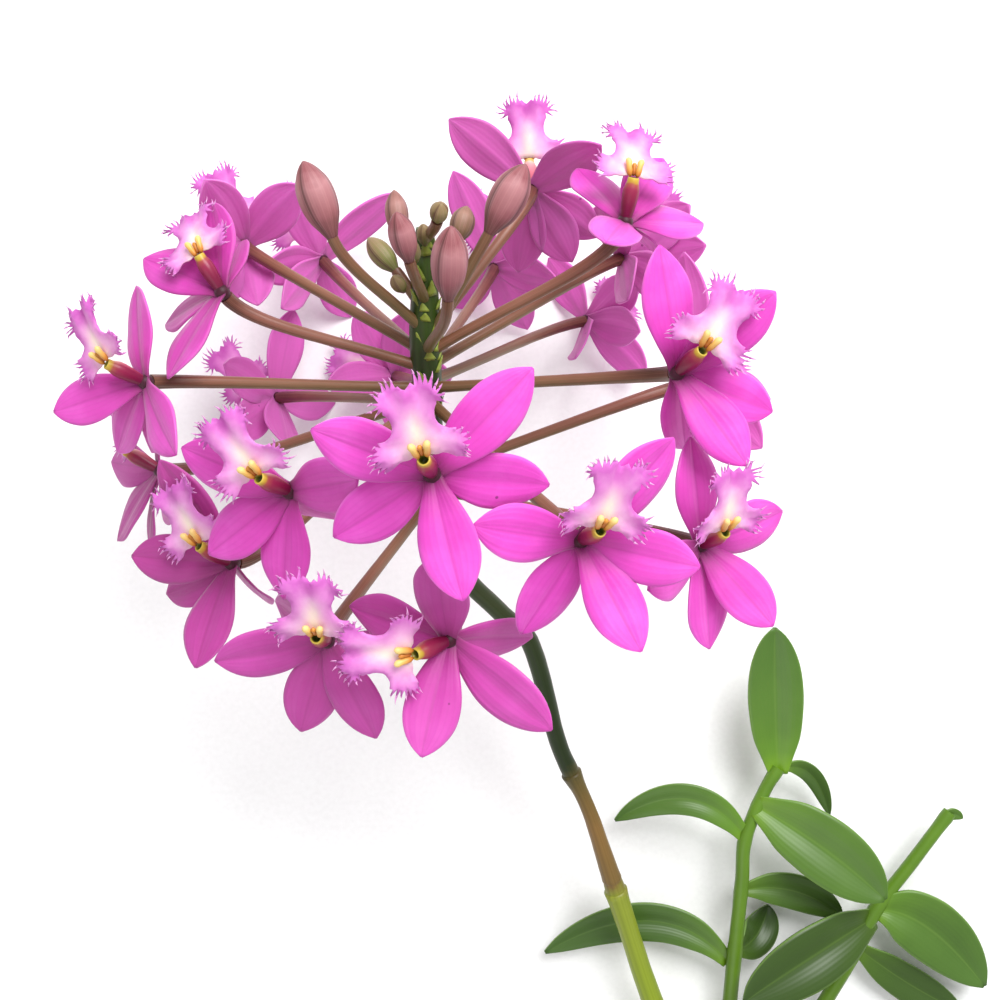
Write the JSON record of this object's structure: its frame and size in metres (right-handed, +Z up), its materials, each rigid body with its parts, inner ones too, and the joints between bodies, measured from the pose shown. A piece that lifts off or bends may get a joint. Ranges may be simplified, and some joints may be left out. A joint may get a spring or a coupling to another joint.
{
  "type": "epidendrum orchid",
  "caption": "Cut flowering orchid branch that lies on a surface: a ball-shaped head of open blooms with fringed lips, buds, one slender stem and leafy side shoots.",
  "frame": {"origin": "centre of the branch's box, on the surface that it lies on", "axes": "+Z up from the surface, +Y along the branch towards the head, +X towards the leafy shoots' side"},
  "size_m": [0.183, 0.219, 0.1142],
  "materials": {
    "petal": "satin",
    "lip": "satin",
    "bud": "satin",
    "stem": "satin",
    "leaf": "satin"
  },
  "bodies": {
    "root": {"bloom_01_petals": "petal", "bloom_02_petals": "petal", "bloom_03_petals": "petal", "bloom_04_petals": "petal", "bloom_05_petals": "petal", "bloom_06_petals": "petal", "bloom_07_petals": "petal", "bloom_08_petals": "petal", "bloom_09_petals": "petal", "bloom_10_petals": "petal", "bloom_11_petals": "petal", "bloom_12_petals": "petal", "bloom_13_petals": "petal", "bloom_14_petals": "petal", "bloom_15_petals": "petal", "bloom_16_petals": "petal", "bloom_17_petals": "petal", "bloom_18_petals": "petal", "bloom_19_petals": "petal", "bloom_20_petals": "petal", "bloom_21_petals": "petal", "bloom_01_lip": "lip", "bloom_02_lip": "lip", "bloom_03_lip": "lip", "bloom_04_lip": "lip", "bloom_05_lip": "lip", "bloom_06_lip": "lip", "bloom_07_lip": "lip", "bloom_08_lip": "lip", "bloom_09_lip": "lip", "bloom_10_lip": "lip", "bloom_11_lip": "lip", "bloom_12_lip": "lip", "bloom_13_lip": "lip", "bloom_14_lip": "lip", "bloom_15_lip": "lip", "bloom_16_lip": "lip", "bloom_17_lip": "lip", "bloom_18_lip": "lip", "bloom_19_lip": "lip", "bloom_20_lip": "lip", "bloom_21_lip": "lip", "bud_1": "bud", "bud_2": "bud", "bud_3": "bud", "bud_4": "bud", "bud_5": "bud", "bud_6": "bud", "bud_7": "bud", "bud_8": "bud", "flower_stem": "stem", "leafy_shoot_1": "leaf", "leafy_shoot_2": "leaf"}
  },
  "joints": []
}
